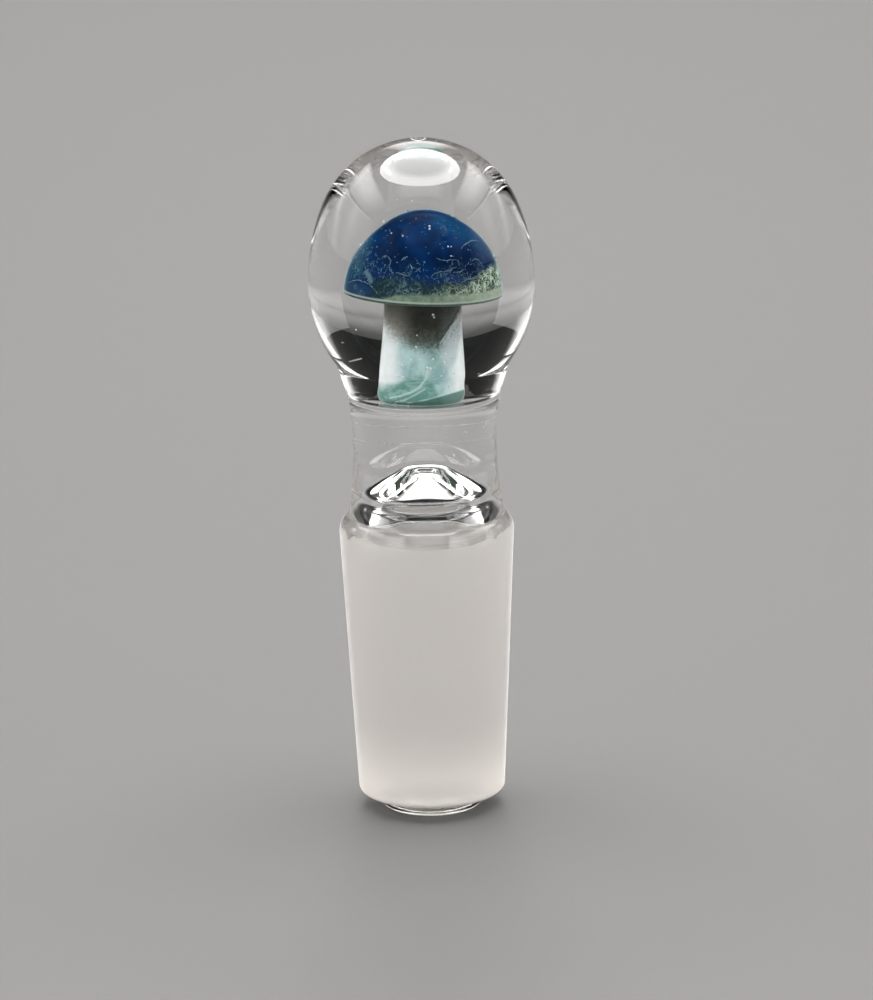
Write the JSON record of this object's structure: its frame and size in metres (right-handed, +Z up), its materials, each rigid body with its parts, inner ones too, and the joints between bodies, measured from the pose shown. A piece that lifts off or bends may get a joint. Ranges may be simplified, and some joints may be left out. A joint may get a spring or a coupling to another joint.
{
  "type": "glass stopper",
  "caption": "Glass stopper with a hollow ground taper joint, a waisted neck and a solid ball head that encloses a small coloured glass mushroom.",
  "frame": {"origin": "centre of the lower rim, in the plane of the lip that the stopper stands on", "axes": "+Z up along the axis of the taper, neck and ball; +X to the right and -Y to the front, the side from which the mushroom's cap leans to the right"},
  "size_m": [0.0186, 0.0186, 0.0567],
  "materials": {
    "clear_glass": "clear, polished, with a frosted band on the ground taper",
    "cap_glass": "deep blue, glossy, with fine crackle towards the rim",
    "stem_glass": "pale smoky green, glossy"
  },
  "bodies": {
    "root": {"glass_body": "clear_glass", "mushroom_cap": "cap_glass", "mushroom_stem": "stem_glass"}
  },
  "joints": []
}
